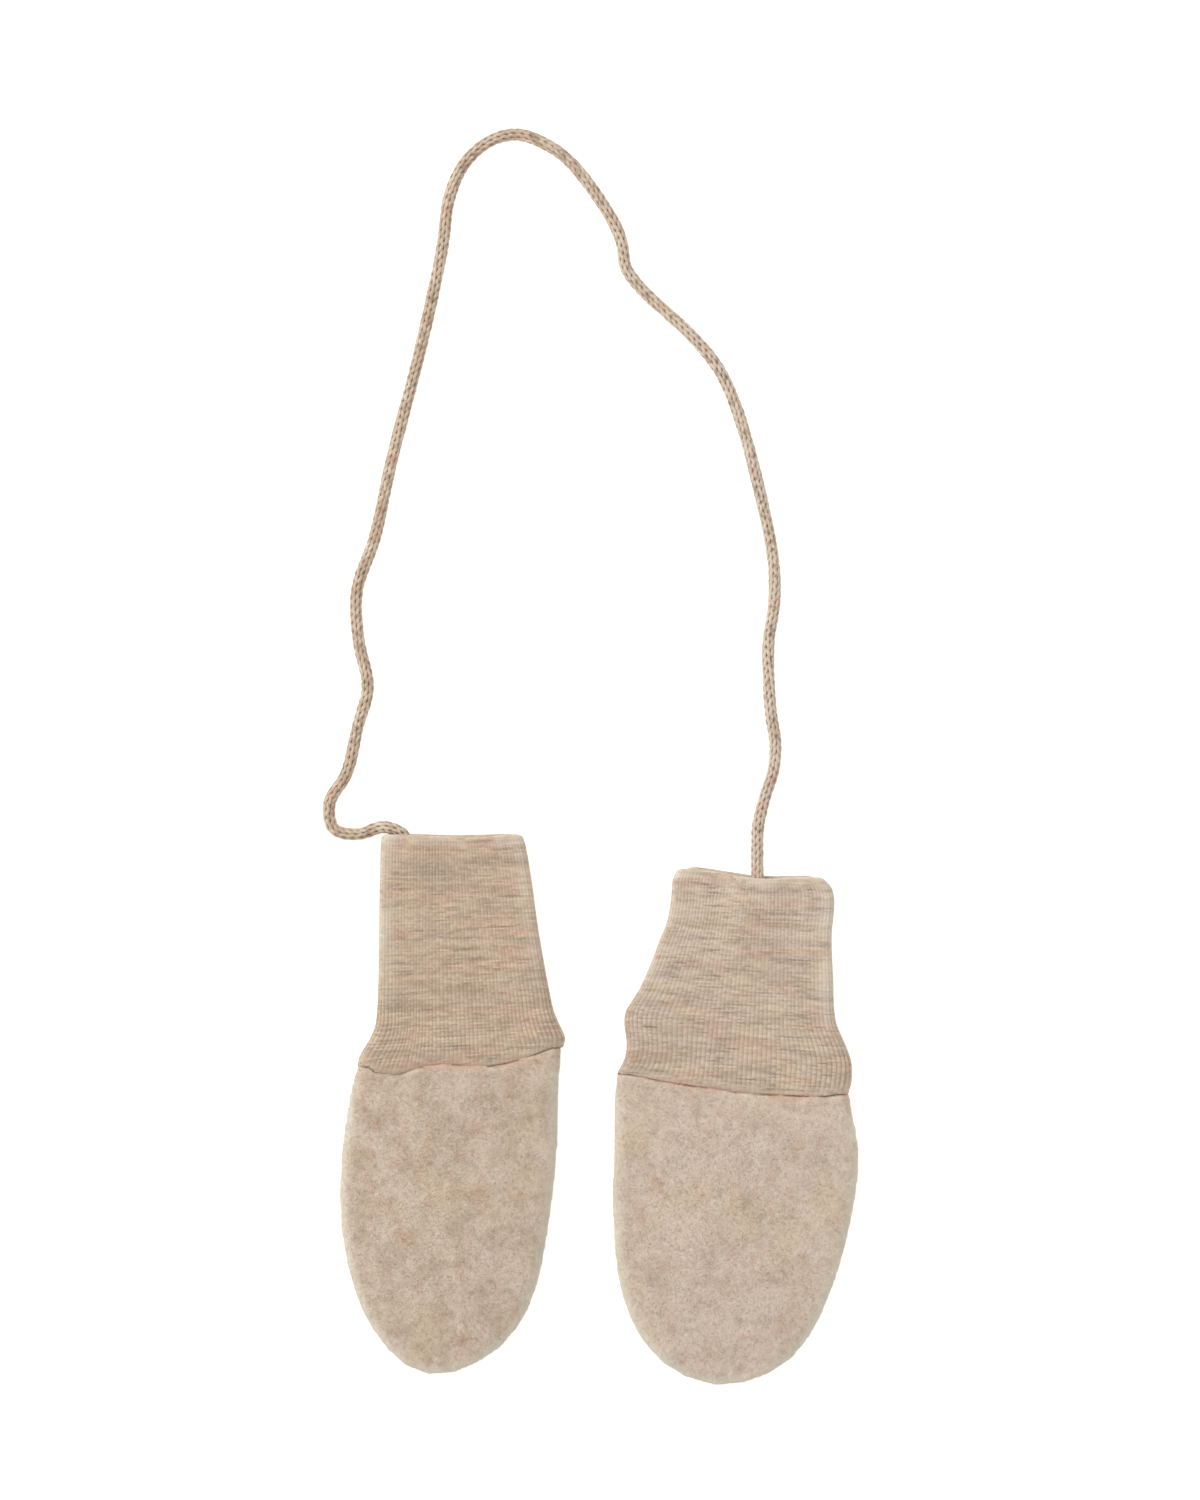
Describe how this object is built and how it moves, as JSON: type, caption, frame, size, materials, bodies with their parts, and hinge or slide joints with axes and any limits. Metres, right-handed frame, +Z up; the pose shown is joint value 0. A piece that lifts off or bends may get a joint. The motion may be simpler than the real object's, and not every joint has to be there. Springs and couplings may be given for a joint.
{
  "type": "pair of baby mittens",
  "caption": "Thumbless baby mittens laid flat: soft fleece pouches with doubled rib knit cuffs, joined by a long knitted cord.",
  "frame": {"origin": "on the surface the pair lies on, midway between the two mittens", "axes": "+Y from the closed tips towards the cuffs and the cord, +X to the viewer's right across the pair, +Z up from the surface"},
  "size_m": [0.1716, 0.4019, 0.0091],
  "materials": {
    "fleece": "thick brushed wool fleece, oatmeal melange, soft nap",
    "rib_knit": "fine 1x1 rib knit, oatmeal melange with horizontal streaks",
    "knitted_cord": "round knitted wool cord, oatmeal"
  },
  "bodies": {
    "root": {"left_pouch_front": "fleece", "left_pouch_back": "fleece", "left_cuff": "rib_knit", "right_pouch_front": "fleece", "right_pouch_back": "fleece", "right_cuff": "rib_knit", "cord": "knitted_cord"}
  },
  "joints": []
}
